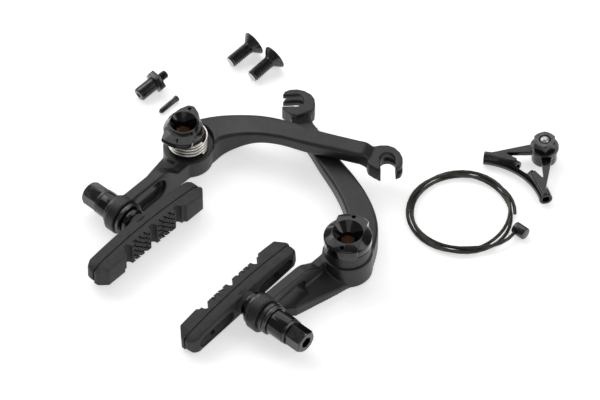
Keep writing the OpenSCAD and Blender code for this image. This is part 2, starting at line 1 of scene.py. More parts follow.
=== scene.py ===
# %% [markdown]
# # A U brake laid out on a white table
# We dress a measured CAD model of a bicycle U brake: two crossed forged arms with their brake
# pads, springs and caps, and the loose hardware beside them. The CAD pieces arrive already in
# place and in metres. What is left to do is what a photograph shows and a plain solid lacks:
# soft forged edges, pressed rubber, round spring wire, threads, and the finish of each surface.

# %% Load the brake
import math

import bmesh
import bpy
import numpy as np
from mathutils import Matrix, Vector


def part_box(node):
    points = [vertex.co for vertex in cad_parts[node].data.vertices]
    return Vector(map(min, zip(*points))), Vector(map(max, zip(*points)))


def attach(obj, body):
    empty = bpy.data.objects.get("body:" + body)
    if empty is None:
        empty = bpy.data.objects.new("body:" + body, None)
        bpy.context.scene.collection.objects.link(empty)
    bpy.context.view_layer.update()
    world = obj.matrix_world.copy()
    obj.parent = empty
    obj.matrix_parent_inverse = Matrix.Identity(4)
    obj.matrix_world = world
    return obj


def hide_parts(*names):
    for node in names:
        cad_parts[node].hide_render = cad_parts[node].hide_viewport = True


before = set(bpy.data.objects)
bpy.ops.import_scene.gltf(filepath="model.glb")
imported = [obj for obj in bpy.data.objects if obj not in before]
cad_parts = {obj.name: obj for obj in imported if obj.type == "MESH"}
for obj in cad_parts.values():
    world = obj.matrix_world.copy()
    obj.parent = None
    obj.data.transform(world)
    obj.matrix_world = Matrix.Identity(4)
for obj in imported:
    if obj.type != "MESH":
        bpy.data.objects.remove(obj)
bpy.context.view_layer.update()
MM = 0.001
print("CAD pieces:", len(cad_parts))


def middle(node):
    """Middle of a CAD piece's box, in metres."""
    low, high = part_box(node)
    return (Vector(low) + Vector(high)) / 2


def size(node):
    """Lengths of a CAD piece's box along X, Y and Z, in metres."""
    low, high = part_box(node)
    return Vector(high) - Vector(low)


# %% [markdown]
# ## Camera
# The picture was taken from far away with a long lens, so parallel edges stay parallel. A 400 mm
# lens at three metres does the same here. We place it by two angles, the turn round the brake and
# the height above the table, and let the frame's width on the table set the distance.

# %% Camera
def put_in_scene(name, data):
    """Object that holds a mesh, a camera or a lamp, linked to the scene."""
    piece = bpy.data.objects.new(name, data)
    bpy.context.scene.collection.objects.link(piece)
    return piece


camera_turn = math.radians(42.4)
camera_height = math.radians(48.5)
lens_length = 400.0
sensor_width = 36.0
picture_width = 274 * MM
look_at = Vector((4.8, 16.8, 0)) * MM

towards_camera = Vector((
    math.sin(camera_turn) * math.cos(camera_height),
    -math.cos(camera_turn) * math.cos(camera_height),
    math.sin(camera_height),
))
camera_data = bpy.data.cameras.new("long_lens")
camera_data.lens = lens_length
camera_data.sensor_width = sensor_width
camera_data.clip_end = 20
camera = put_in_scene("camera", camera_data)
camera.location = look_at + towards_camera * picture_width * lens_length / sensor_width
camera.rotation_euler = (-towards_camera).to_track_quat("-Z", "Y").to_euler()
bpy.context.scene.camera = camera
print("camera stands", round(camera.location.length, 2), "m away")

# %% [markdown]
# ## Meshes by hand
# Most of the pieces below are turned, swept or cut, so a few small helpers pay for themselves:
# they make a mesh object from points and faces, bake its modifiers into it, join or cut closed
# meshes, copy a CAD piece, soften it as a forging is soft, and draw a plain rod.

# %% Mesh helpers
soft_edge = math.radians(32)
weld_distance = 0.001 * MM


def shade(piece, angle=soft_edge):
    """Smooth shading, broken only at edges sharper than the angle."""
    mesh = piece.data
    mesh.polygons.foreach_set("use_smooth", [True] * len(mesh.polygons))
    mesh.set_sharp_from_angle(angle=angle)
    return piece


def piece_from(name, work):
    """Mesh object from a bmesh, which is freed."""
    mesh = bpy.data.meshes.new(name)
    work.to_mesh(mesh)
    work.free()
    return put_in_scene(name, mesh)


def new_piece(name, points, faces):
    """Mesh object from points in metres, with its faces turned outwards."""
    mesh = bpy.data.meshes.new(name)
    mesh.from_pydata([tuple(p) for p in points], [], faces)
    work = bmesh.new()
    work.from_mesh(mesh)
    bmesh.ops.recalc_face_normals(work, faces=work.faces)
    work.to_mesh(mesh)
    work.free()
    return shade(put_in_scene(name, mesh))


def tube_faces(rings, sides):
    """Faces of a tube through rings of points, closed at both ends."""
    faces = []
    for i in range(rings - 1):
        for k in range(sides):
            j = (k + 1) % sides
            a, b = i * sides, (i + 1) * sides
            faces.append((a + k, a + j, b + j, b + k))
    faces.append(tuple(range(sides - 1, -1, -1)))
    faces.append(tuple(range((rings - 1) * sides, rings * sides)))
    return faces


def turn_to(direction):
    """Matrix that turns +Z to a direction."""
    return Vector(direction).to_track_quat("Z", "Y").to_matrix().to_4x4()


def bake(piece):
    """Turns a piece's modifiers into its mesh."""
    ready = piece.evaluated_get(bpy.context.evaluated_depsgraph_get())
    mesh = bpy.data.meshes.new_from_object(ready)
    piece.modifiers.clear()
    piece.data = mesh
    return piece


def combine(piece, others, how):
    """Adds, cuts or intersects closed meshes: how is UNION, DIFFERENCE or INTERSECT."""
    for other in others:
        step = piece.modifiers.new("combine", "BOOLEAN")
        step.operation = how
        step.solver = "MANIFOLD"
        step.object = other
        bake(piece)
        bpy.data.objects.remove(other)
    return piece


def copy_of(node, name):
    """A welded copy of a CAD piece's mesh, free to be reshaped."""
    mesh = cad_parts[node].data.copy()
    work = bmesh.new()
    work.from_mesh(mesh)
    bmesh.ops.remove_doubles(work, verts=work.verts, dist=weld_distance)
    work.to_mesh(mesh)
    work.free()
    return put_in_scene(name, mesh)


def wear_soft(piece, grain, rounds):
    """Remakes a mesh on a fine even grid and rounds its edges, as a forging or moulding has them."""
    step = piece.modifiers.new("grid", "REMESH")
    step.mode = "VOXEL"
    step.voxel_size = grain
    step = piece.modifiers.new("soften", "SMOOTH")
    step.factor = 0.5
    step.iterations = rounds
    return bake(piece)


def rod(name, radius, start, end, sides=96):
    """Plain cylinder between two points."""
    axis = Vector(end) - Vector(start)
    work = bmesh.new()
    bmesh.ops.create_cone(
        work, cap_ends=True, segments=sides, radius1=radius, radius2=radius, depth=axis.length
    )
    piece = piece_from(name, work)
    piece.data.transform(Matrix.Translation((Vector(start) + Vector(end)) / 2) @ turn_to(axis))
    return piece


# %% [markdown]
# ## Turned pieces
# A washer, a screw and a bushing come off a lathe, so they are drawn as half a section and spun
# round an axis. Real turned edges are never razor sharp, and a tiny rounding at each corner is
# what catches the light, so the section's corners are eased before it is spun.

# %% Turning helper
def eased(section, radius, closed):
    """Rounds the corners of a section of (radius, height) points."""
    points = [Vector(p) for p in section]
    count = len(points)
    result = []
    for i, corner in enumerate(points):
        if not closed and i in (0, count - 1):
            result.append(corner)
            continue
        before = points[i - 1] - corner
        after = points[(i + 1) % count] - corner
        reach = min(radius, before.length * 0.45, after.length * 0.45)
        a = corner + before.normalized() * reach
        b = corner + after.normalized() * reach
        for t in (0.0, 0.33, 0.67, 1.0):
            result.append(a.lerp(corner, t).lerp(corner.lerp(b, t), t))
    return result


def turned(name, section, closed=False, ease=0.18, sides=96):
    """Spins a section, in millimetres, round Z. A closed section leaves a bore."""
    line = [p * MM for p in eased(section, ease, closed)]
    points = []
    faces = []
    rows = []
    for p in line:
        if p.x < 1e-9:
            rows.append([len(points)])
            points.append((0, 0, p.y))
            continue
        rows.append(list(range(len(points), len(points) + sides)))
        for k in range(sides):
            a = 2 * math.pi * k / sides
            points.append((p.x * math.cos(a), p.x * math.sin(a), p.y))
    pairs = list(zip(rows, rows[1:] + rows[:1])) if closed else list(zip(rows, rows[1:]))
    for low, high in pairs:
        for k in range(sides):
            j = (k + 1) % sides
            if len(low) == 1:
                faces.append((low[0], high[j], high[k]))
            elif len(high) == 1:
                faces.append((low[k], low[j], high[0]))
            else:
                faces.append((low[k], low[j], high[j], high[k]))
    return new_piece(name, points, faces)


def ring_section(inside, outside, start, end):
    """Section of a plain ring, from its bore to its outside and from one height to another."""
    return [(inside, start), (outside, start), (outside, end), (inside, end)]


# %% [markdown]
# ## Wire
# Springs and the straddle wire are one round wire bent along a path. The tube helper carries a
# ring of points along the path without letting it twist, and writes a UV map whose first axis
# runs along the wire, so that drawing marks can follow it.

# %% Wire helper
def wire(name, path, radius, sides=16):
    """Round tube along a path of points in metres, closed at both ends."""
    path = [Vector(p) for p in path]
    count = len(path)
    side = Vector((0, 0, 1))
    points = []
    for i, p in enumerate(path):
        ahead = (path[min(i + 1, count - 1)] - path[max(i - 1, 0)]).normalized()
        side = (side - ahead * side.dot(ahead)).normalized()
        other = ahead.cross(side)
        for k in range(sides):
            a = 2 * math.pi * k / sides
            points.append(p + (side * math.cos(a) + other * math.sin(a)) * radius)
    piece = new_piece(name, points, tube_faces(count, sides))
    layer = piece.data.uv_layers.new(name="along")
    for polygon in piece.data.polygons[: (count - 1) * sides]:
        for loop, vertex in zip(polygon.loop_indices, polygon.vertices):
            row, column = divmod(vertex, sides)
            layer.data[loop].uv = (row * 0.05, column / sides)
    return piece


# %% [markdown]
# ## Screw threads
# A thread is a zigzag that climbs as it goes round. A grid of points does it: one direction runs
# round the shank and the other along it, and the distance from the axis follows a saw tooth of
# both. It fades out at each end, where a real thread is chamfered.

# %% Thread helper
def threaded(name, radius, pitch, depth, start, end, sides=48):
    """Threaded rod on the Z axis between two heights, sizes in millimetres."""
    rows = round((end - start) / pitch * 10)
    points = []
    for i in range(rows + 1):
        z = start + (end - start) * i / rows
        fade = min(1.0, (z - start) / (0.8 * pitch), (end - z) / (0.8 * pitch))
        for k in range(sides):
            turn = (z / pitch - k / sides) % 1.0
            tooth = abs(2 * turn - 1)
            r = (radius - depth * (1 - fade) * 0.9 - depth * fade * tooth) * MM
            a = 2 * math.pi * k / sides
            points.append((r * math.cos(a), r * math.sin(a), z * MM))
    return new_piece(name, points, tube_faces(rows + 1, sides))


# %% [markdown]
# ## Finishes
# Each finish starts as one physically based shader. The colour is what the real metal or rubber
# has, and small noise on colour, roughness and surface height keeps it from looking like plastic.
# The patterns are laid in each piece's own space, so they move with it.

# %% Finish helpers
def add(tree, kind, settings=(), inputs=()):
    """One shader node with its settings and input values."""
    node = tree.nodes.new(kind)
    for key, value in dict(settings).items():
        setattr(node, key, value)
    for key, value in dict(inputs).items():
        node.inputs[key].default_value = value
    return node


def new_finish(name, colour, metal, rough):
    """A material with a plain shader to build on."""
    material = bpy.data.materials.new(name)
    material.use_nodes = True
    tree = material.node_tree
    shader = tree.nodes["Principled BSDF"]
    shader.inputs["Base Color"].default_value = (*colour, 1)
    shader.inputs["Metallic"].default_value = metal
    shader.inputs["Roughness"].default_value = rough
    material.diffuse_color = (*colour, 1)
    return material, tree, shader


def noise(tree, scale, detail=4, stretch=(1, 1, 1), space="Object"):
    """Noise laid in the piece's own space. Scale counts features per metre."""
    place = add(tree, "ShaderNodeTexCoord")
    shape = add(tree, "ShaderNodeMapping", {}, {"Scale": stretch})
    grain = add(tree, "ShaderNodeTexNoise", {}, {"Scale": scale, "Detail": detail})
    tree.links.new(place.outputs[space], shape.inputs["Vector"])
    tree.links.new(shape.outputs["Vector"], grain.inputs["Vector"])
    return grain.outputs["Fac"]


def tint(tree, shader, value, dark, light):
    """Lets a noise value wander the colour between two shades."""
    ramp = add(tree, "ShaderNodeValToRGB")
    ramp.color_ramp.elements[0].position = 0.3
    ramp.color_ramp.elements[0].color = (*dark, 1)
    ramp.color_ramp.elements[1].position = 0.7
    ramp.color_ramp.elements[1].color = (*light, 1)
    tree.links.new(value, ramp.inputs["Fac"])
    tree.links.new(ramp.outputs["Color"], shader.inputs["Base Color"])


def vary_rough(tree, shader, value, low, high):
    """Lets a noise value wander the roughness."""
    spread = add(tree, "ShaderNodeMapRange", {}, {"To Min": low, "To Max": high})
    tree.links.new(value, spread.inputs["Value"])
    tree.links.new(spread.outputs["Result"], shader.inputs["Roughness"])


def emboss(tree, shader, value, depth, strength=1.0, edge=0.0):
    """Raises the surface by a noise value times a depth in metres, and rounds its edges' shading."""
    bump = add(tree, "ShaderNodeBump", {}, {"Distance": depth, "Strength": strength})
    tree.links.new(value, bump.inputs["Height"])
    if edge:
        rounding = add(tree, "ShaderNodeBevel", {"samples": 6}, {"Radius": edge})
        tree.links.new(rounding.outputs["Normal"], bump.inputs["Normal"])
    tree.links.new(bump.outputs["Normal"], shader.inputs["Normal"])


# %% [markdown]
# ### Satin black of the arms
# The arms are forged aluminium, blasted and then anodised black. That leaves a very dark skin with
# a soft sheen and a fine even grain, and the blasting shows as tiny dimples in a low light.

# %% Satin black
def make_satin_black():
    material, tree, shader = new_finish("satin_black", (0.014, 0.014, 0.015), 0.0, 0.4)
    tint(tree, shader, noise(tree, 240), (0.010, 0.010, 0.011), (0.019, 0.019, 0.020))
    vary_rough(tree, shader, noise(tree, 900), 0.34, 0.46)
    emboss(tree, shader, noise(tree, 5200, 2), 0.02 * MM, 0.5, 0.35 * MM)
    return material


satin_black = make_satin_black()

# %% [markdown]
# ### Gloss black of the caps
# The spring caps, the tilting washers and the cable hanger carry a bright black coat. A clear coat
# over a dark base gives the sharp reflections, and noise that is squeezed along the axis leaves
# faint rings below it, as turning marks do.

# %% Gloss black
def make_gloss_black():
    material, tree, shader = new_finish("gloss_black", (0.018, 0.018, 0.019), 1.0, 0.2)
    tint(tree, shader, noise(tree, 400), (0.012, 0.012, 0.013), (0.024, 0.024, 0.025))
    vary_rough(tree, shader, noise(tree, 2400, 3, (1, 1, 6)), 0.14, 0.24)
    emboss(tree, shader, noise(tree, 1500, 3, (1, 1, 6)), 0.008 * MM, 0.5, 0.25 * MM)
    shader.inputs["Coat Weight"].default_value = 0.7
    shader.inputs["Coat Roughness"].default_value = 0.06
    return material


gloss_black = make_gloss_black()

# %% [markdown]
# ### Black steel
# Screws, nuts and washers are steel with a thin chemical black. It is a metal's reflection dimmed
# rather than a paint, so the shader is metallic with a dark tint. The cups and washers wear a
# lighter shade of it. Where a screw's end was cut after the bath, the steel shows bare and light.

# %% Black steel
def make_black_steel():
    material, tree, shader = new_finish("black_steel", (0.05, 0.05, 0.052), 1.0, 0.28)
    tint(tree, shader, noise(tree, 600), (0.035, 0.035, 0.037), (0.07, 0.07, 0.073))
    vary_rough(tree, shader, noise(tree, 1800), 0.2, 0.34)
    emboss(tree, shader, noise(tree, 4200, 2), 0.006 * MM, 0.5, 0.2 * MM)
    shader.inputs["Coat Weight"].default_value = 0.4
    shader.inputs["Coat Roughness"].default_value = 0.12
    return material


def make_dark_steel():
    material, tree, shader = new_finish("dark_steel", (0.09, 0.09, 0.093), 1.0, 0.3)
    tint(tree, shader, noise(tree, 500), (0.06, 0.06, 0.062), (0.12, 0.12, 0.123))
    vary_rough(tree, shader, noise(tree, 1500), 0.24, 0.38)
    emboss(tree, shader, noise(tree, 3800, 2), 0.006 * MM, 0.5)
    return material


def make_bare_steel():
    material, tree, shader = new_finish("bare_steel", (0.5, 0.5, 0.51), 1.0, 0.35)
    tint(tree, shader, noise(tree, 700), (0.42, 0.42, 0.43), (0.6, 0.6, 0.61))
    vary_rough(tree, shader, noise(tree, 2000), 0.3, 0.42)
    emboss(tree, shader, noise(tree, 3000, 2), 0.01 * MM, 0.5)
    return material


black_steel = make_black_steel()
dark_steel = make_dark_steel()
bare_steel = make_bare_steel()

# %% [markdown]
# ### Spring wire, bronze, rubber and the wire's coating
# Spring wire is drawn bright through a die, which leaves faint lines along it. The bushing is
# sintered bronze, a warm brown and pitted with the pores that hold its oil. The pads are moulded
# rubber: charcoal grey, quite dull, with a fine powdery grain. The straddle wire is black strands.

# %% Spring wire, bronze, rubber and coated wire
def make_spring_wire():
    material, tree, shader = new_finish("spring_wire", (0.86, 0.83, 0.74), 1.0, 0.3)
    tint(tree, shader, noise(tree, 300), (0.78, 0.75, 0.66), (0.92, 0.9, 0.83))
    vary_rough(tree, shader, noise(tree, 9, 3, (1, 12, 1), "UV"), 0.24, 0.38)
    emboss(tree, shader, noise(tree, 12, 3, (0.6, 12, 1), "UV"), 0.01 * MM, 0.5)
    return material


def make_bronze():
    material, tree, shader = new_finish("sintered_bronze", (0.45, 0.28, 0.13), 0.35, 0.5)
    tint(tree, shader, noise(tree, 1500, 6), (0.36, 0.22, 0.1), (0.52, 0.33, 0.16))
    vary_rough(tree, shader, noise(tree, 2600), 0.42, 0.6)
    emboss(tree, shader, noise(tree, 5000, 3), 0.02 * MM, 0.6)
    return material


def make_pad_rubber():
    material, tree, shader = new_finish("pad_rubber", (0.032, 0.032, 0.032), 0.0, 0.62)
    tint(tree, shader, noise(tree, 350, 6), (0.025, 0.025, 0.025), (0.041, 0.041, 0.041))
    vary_rough(tree, shader, noise(tree, 1200), 0.55, 0.72)
    emboss(tree, shader, noise(tree, 4200, 4), 0.03 * MM, 0.6)
    return material


def make_wire_black():
    """The strands of the wire show as slanting ridges in the wire's own UV map."""
    material, tree, shader = new_finish("wire_black", (0.05, 0.048, 0.04), 0.5, 0.35)
    tint(tree, shader, noise(tree, 500), (0.035, 0.033, 0.028), (0.07, 0.067, 0.056))
    vary_rough(tree, shader, noise(tree, 1500), 0.3, 0.45)
    place = add(tree, "ShaderNodeTexCoord")
    slant = add(tree, "ShaderNodeMapping", {}, {"Scale": (4.0, 6.0, 1.0)})
    strands = add(tree, "ShaderNodeTexWave", {"wave_type": "BANDS", "bands_direction": "DIAGONAL"},
                  {"Scale": 0.5, "Distortion": 0.0})
    tree.links.new(place.outputs["UV"], slant.inputs["Vector"])
    tree.links.new(slant.outputs["Vector"], strands.inputs["Vector"])
    emboss(tree, shader, strands.outputs["Fac"], 0.12 * MM, 0.8)
    return material


spring_wire = make_spring_wire()
bronze = make_bronze()
pad_rubber = make_pad_rubber()
wire_black = make_wire_black()
print("finishes:", len(bpy.data.materials))


def dress(piece, material, slot, body, *nodes):
    """Gives a new piece its finish, its body and the CAD pieces that it stands for."""
    piece.data.materials.clear()
    piece.data.materials.append(material)
    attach(piece, body)
    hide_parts(*nodes)
    return piece


# %% [markdown]
# ## Arms
# Each arm is one forging: boss, bar, hook and lower leg flow into each other with soft fillets,
# while the hub that carries the spring is machined and stays crisp. So the forged part is remade
# on a fine grid and smoothed until its edges round over, and a freshly turned hub is put back.

# %% Arms
SIDES = ("left", "right")
pivot = {side: middle("bushing_" + side) for side in SIDES}
bore_radius = 5.92
hub_radius = 7.1
hub_from = 0.2
drill_radius = 6.6
machined_radius = 11.45
# The right arm's collar is painted shade: a dark satin wall raised round the right spring stands in
# for the shade that hides it.
collar_inside, collar_outside = 9.65, 10.6
collar_from, collar_to = 8, 19.3
forging_grain = 0.4 * MM
forging_rounds = 6
boss_top = {"left": 10.7, "right": 12.9}


def make_arm(side):
    """Forging with soft edges, drilled, with its hub put back."""
    place = Vector((pivot[side].x, 0, 0))
    up = Vector((0, 0, MM))
    arm = copy_of("arm_" + side, "forged_arm_" + side)
    clear = rod("clear", machined_radius * MM, place + up * boss_top[side], place + up * 40)
    combine(arm, [clear], "DIFFERENCE")
    wear_soft(arm, forging_grain, forging_rounds)
    drill = rod("drill", drill_radius * MM, place - up * 5, place + up * 40)
    combine(arm, [drill], "DIFFERENCE")
    hub_top = size("bushing_" + side).z / MM
    hub = turned("hub", ring_section(bore_radius, hub_radius, hub_from, hub_top), True)
    hub.data.transform(Matrix.Translation(place))
    parts = [hub]
    # Painted shade: on the right a dark collar rises round the spring, where only shade hides it.
    if side == "right":
        section = ring_section(collar_inside, collar_outside, collar_from, collar_to)
        collar = turned("collar", section, True)
        collar.data.transform(Matrix.Translation(place))
        parts.append(collar)
    combine(arm, parts, "UNION")
    shade(arm)
    print("arm", side, "has", len(arm.data.polygons), "faces")
    return dress(arm, satin_black, "arm_finish", side + "_arm", "arm_" + side)


arms = [make_arm(side) for side in SIDES]

# %% [markdown]
# ## Springs
# A torsion spring of round wire sits round each hub. The wire climbs in a helix from the boss to
# the underside of the cap, and we only need its radius, its two ends and the number of turns.

# %% Springs
spring_wire_radius = 0.58 * MM
spring_turns = 4.0
steps_a_turn = 72


def make_spring(side):
    low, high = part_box("spring_" + side)
    radius = (high[0] - low[0]) / 2 - spring_wire_radius
    first, last = low[2] + spring_wire_radius, high[2] - spring_wire_radius
    hand = 1 if side == "left" else -1
    total = round(spring_turns * steps_a_turn)
    path = []
    for i in range(total + 1):
        a = hand * 2 * math.pi * i / steps_a_turn
        z = first + (last - first) * i / total
        path.append((pivot[side].x + radius * math.cos(a), radius * math.sin(a), z))
    spring = wire("torsion_spring_" + side, path, spring_wire_radius)
    return dress(spring, spring_wire, "spring_steel", side + "_arm", "spring_" + side)


springs = [make_spring(side) for side in SIDES]

# %% [markdown]
# ## Brake pads
# The block is moulded rubber in two parts with a seam between them: a back that holds the stud and
# a wearing part with three round grooves and two panels of crossed cuts. Its upper side follows
# the rim. All of this changes along the length only, so the block is built from many slices, each
# a small rounded outline, with a few functions that give the back, the face and the top.

# %% Shape of the brake block
pad_length = 70.0
pad_height = 12.2
pad_depth = 11.6
rim_radius = 200.0
seam = (5.2, 5.7)
panel_face = 10.4
panel_places = (-8.15, 8.15)
panel_half = 5.6
groove_places = (-16.3, 0.0, 16.3)
groove_radius = 2.0
dent_places = (-5.44, 5.44)
dent_half = 1.02


def along(u, steps):
    """Straight-line value between (place, value) steps, the same at both ends of the block."""
    return float(np.interp(abs(u), [a for a, _ in steps], [b for _, b in steps]))


def pad_back(u):
    return along(u, [(0, 0), (31.4, 0), (34, 1.2), (35, 3.6)])


def pad_face(u):
    ends = [(20.5, pad_depth), (31, pad_depth), (35, 7.6)]
    face = along(u, [(0, panel_face), (19.5, panel_face)] + ends)
    for place in groove_places:
        if abs(u - place) < groove_radius:
            face = min(face, panel_face - 1.3 * math.sqrt(groove_radius ** 2 - (u - place) ** 2))
    for place in dent_places:
        if abs(u - place) < dent_half:
            face = min(face, 11.2 - math.sqrt(1.3 ** 2 - (u - place) ** 2))
    return face


def pad_top(u):
    return math.sqrt(rim_radius ** 2 - u * u) - rim_radius + pad_height


# %% [markdown]
# A slice is an outline of depth and height. Its corners are short arcs, it steps in at the seam
# where the two parts meet, and it draws in near the ends, so the block ends rounded as moulded
# rubber does.

# %% Slices of the brake block
def rounded_end(u, reach):
    """How far the block's corner has drawn in at u, for a corner that reaches this far."""
    over = abs(u) - (pad_length / 2 - reach)
    return 0.0 if over <= 0 else reach * (1 - math.sqrt(max(0.0, 1 - (over / reach) ** 2))) * 0.8


def block_slice(u):
    """Outline (depth, height) of the block at u: back, top of both parts, face, underside."""
    back, face, top = pad_back(u), pad_face(u), pad_top(u)
    drop = rounded_end(u, 3.2)
    lip = rounded_end(u, 1.2)
    a, b = seam
    groove = 0.45
    outline = []

    def corner(d, h, from_angle, radius):
        for step in range(5):
            angle = math.radians(from_angle + step * 22.5)
            outline.append((d + radius * math.cos(angle), h + radius * math.sin(angle)))

    r = 0.9
    corner(back + r, drop + r, 180, r)
    outline.extend([
        (a - 0.15, drop), (a, drop + 0.15), (a, groove),
        (b, groove), (b, lip + 0.15), (b + 0.15, lip),
    ])
    e = 0.35
    corner(face - e, lip + e, 270, e)
    corner(face - e, top - lip - e, 0, e)
    outline.extend([
        (b + 0.15, top - lip), (b, top - lip - 0.15), (b, top - groove), (a, top - groove),
        (a, top - drop - 0.15), (a - 0.15, top - drop),
    ])
    corner(back + r, top - drop - r, 90, r)
    return outline


print("one slice of the pad has", len(block_slice(0)), "points")

# %% [markdown]
# The slices stand closer where the block changes quickly. The crossed cuts are two fans of thin
# blades, one leaning each way, and each fan is taken away in one boolean. The pockets in the back,
# the slot and slope at each end and the neck round the stud follow in the same way.

# %% Brake pads
def slice_places():
    places = list(np.arange(-34.4, 34.5, 0.4))
    places += [-35, -34.95, -34.8, -34.6, 34.6, 34.8, 34.95, 35, -20.5, -19.5, 19.5, 20.5]
    for middle_of in groove_places:
        places += [middle_of + groove_radius * math.sin(math.radians(a)) for a in range(-90, 91, 15)]
    for middle_of in dent_places:
        places += [middle_of + dent_half * math.sin(math.radians(a)) for a in range(-90, 91, 30)]
    return sorted(set(round(float(p), 3) for p in places))


def pad_place(side):
    """Turns block sizes (depth, length, height) in millimetres into places on the brake."""
    low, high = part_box("inner_ball_" + side)
    stud = middle("stud_" + side)
    inner = high[0] if side == "left" else low[0]
    sign = 1 if side == "left" else -1
    start = inner + sign * 1.9 * MM
    lean = math.radians(4.5 if side == "right" else 0)

    def place(d, u, h):
        y, z = u * MM, (h - pad_height / 2) * MM
        return (
            start + sign * d * MM,
            stud.y + y * math.cos(lean) - z * math.sin(lean),
            stud.z + y * math.sin(lean) + z * math.cos(lean),
        )

    return place


def prism(name, corners, place):
    """Closed solid from two matching rings of (depth, length, height) corners."""
    count = len(corners[0])
    faces = [tuple(range(count)), tuple(range(count, 2 * count))]
    faces += [(k, (k + 1) % count, count + (k + 1) % count, count + k) for k in range(count)]
    return new_piece(name, [place(*c) for ring in corners for c in ring], faces)


def cutting_blades(place, lean, width=0.8, depth=1.9, pitch=3.1):
    """Thin blades across the two panels, leaning one way, each cut off at its panel's ends."""
    blades = []
    foot, head = -1.0, 13.0
    run = lean * 14
    shortest = 0.15
    w = width / 2
    for panel in panel_places:
        for k in range(-4, 5):
            start = panel + k * pitch - run / 2
            edges = sorted((panel + half - start) / run for half in (-panel_half, panel_half))
            s0, s1 = max(0.0, edges[0]), min(1.0, edges[1])
            if s1 - s0 < shortest:
                continue
            (u0, h0), (u1, h1) = [(start + run * s, foot + (head - foot) * s) for s in (s0, s1)]
            ring = [(u0 - w, h0), (u0 + w, h0), (u1 + w, h1), (u1 - w, h1)]
            rings = [[(d, u, h) for u, h in ring] for d in (panel_face - depth, 13.0)]
            blades.append(prism("blade", rings, place))
    return blades


def joined(pieces):
    """One object from several closed pieces that don't touch."""
    work = bmesh.new()
    for piece in pieces:
        work.from_mesh(piece.data)
        bpy.data.objects.remove(piece)
    return piece_from("joined", work)


def pocket_ring(mid_u, mid_h, long, high, lower, upper):
    """Ring of a pocket with round ends, as deep as lower at its foot and as upper at its top."""
    ring = []
    for side_of, start_angle in ((1, -90), (-1, 90)):
        for step in range(13):
            angle = math.radians(start_angle + step * 15)
            rise = high / 2 * math.sin(angle)
            depth = lower + (upper - lower) * (0.5 + rise / high)
            u = mid_u + side_of * (long - high) / 2 + high / 2 * math.cos(angle)
            ring.append((depth, u, mid_h + rise))
    return ring


def end_cutters(place):
    """At each end, a slot along the seam and a slope on the wearing part's top."""
    slot_from, slope_from, past_end, over_top = 33.4, 30.5, 36, 14
    slot = [(slot_from, -1), (past_end, -1), (past_end, over_top), (slot_from, over_top)]
    slope = [(slope_from, pad_top(slope_from)), (past_end, 7.6), (past_end, over_top),
             (slope_from, over_top)]
    cutters = []
    for end in (-1, 1):
        for plan, depths in ((slot, (seam[0], seam[1] + 0.3)), (slope, (seam[1] + 0.1, 13))):
            rings = [[(d, end * u, h) for u, h in plan] for d in depths]
            cutters.append(prism("end_cutter", rings, place))
    return cutters


def pocket_cutters(place):
    """Two long pockets in the back, deeper towards the top, with a small hole in each one's floor."""
    long, mid_u = 22.5, 19.5
    hole_long, hole_high, hole_u, hole_h = 2.8, 1.6, 21.0, 3.0
    top = pad_top(27.5)
    cutters = []
    for end in (-1, 1):
        pocket = [pocket_ring(end * mid_u, top / 2 - 0.4, long, top - 3.6, *depths)
                  for depths in ((-1.0, -1.0), (0.4, 4.6))]
        hole = [pocket_ring(end * hole_u, hole_h, hole_long, hole_high, depth, depth)
                for depth in (-1.0, 5.0)]
        cutters += [prism("pocket", pocket, place), prism("hole", hole, place)]
    return cutters


def make_pad(side):
    place = pad_place(side)
    places = slice_places()
    slices = [block_slice(u) for u in places]
    points = [place(d, u, h) for u, outline in zip(places, slices) for d, h in outline]
    pad = new_piece("brake_block_" + side, points, tube_faces(len(places), len(slices[0])))
    for lean in (-1, 1):
        combine(pad, [joined(cutting_blades(place, lean))], "DIFFERENCE")
    neck_from = Vector(place(-1.9, 0, pad_height / 2))
    neck = turned("neck", [(0, 0), (5.4, 0), (5.7, 1.9), (6.1, 2.6), (6.9, 4.2), (0, 5.5)], ease=0.5)
    neck.data.transform(Matrix.Translation(neck_from) @ turn_to((1 if side == "left" else -1, 0, 0)))
    combine(pad, pocket_cutters(place) + end_cutters(place), "DIFFERENCE")
    combine(pad, [neck], "UNION")
    bore = rod("bore", 3.05 * MM, place(-3, 0, pad_height / 2), place(7.05, 0, pad_height / 2), 48)
    combine(pad, [bore], "DIFFERENCE")
    shade(pad, math.radians(28))
    print("pad", side, "has", len(pad.data.polygons), "faces")
    return dress(pad, pad_rubber, "pad_rubber", side + "_arm", "pad_" + side)


pads = [make_pad(side) for side in SIDES]

# %% [markdown]
# ## Straddle wire
# The wire hangs between the two hooks on the bicycle, and here it lies wound up by itself. Its
# turns are twisted round each other as a hand leaves them: each turn circles the middle of the
# bundle, a third of the way round from the next, so they touch and never cut through each other.

# %% Straddle wire
wire_radius = 0.8 * MM
coil_radius = 23.2 * MM
coil_middle = middle("straddle_cable")
turns = 2.92
twist = 4 / 3
bundle_width = 1.35 * MM
bundle_height = 0.96 * MM
blend_in = 6


def wire_route():
    """Points from the barrel end, clockwise round the coil, to the cut end."""
    barrel = middle("cable_barrel")
    start = Vector((barrel.x - 1.2 * MM, barrel.y - size("cable_barrel").y / 2, barrel.z))
    first = math.atan2(start.y - coil_middle.y, start.x - coil_middle.x)
    reach = (start.xy - coil_middle.xy).length
    steps = 40
    total = round(turns * steps)
    route = []
    for i in range(total + 1):
        a = 2 * math.pi * i / steps
        phase = twist * a + 0.9
        r = coil_radius + bundle_width * math.cos(phase)
        z = wire_radius + bundle_height * (1 + math.sin(phase))
        share = min(1.0, i / blend_in)
        share = share * share * (3 - 2 * share)
        r = reach + (r - reach) * share
        z = start.z + (z - start.z) * share
        angle = first - a
        route.append((coil_middle.x + r * math.cos(angle), coil_middle.y + r * math.sin(angle), z))
    return route


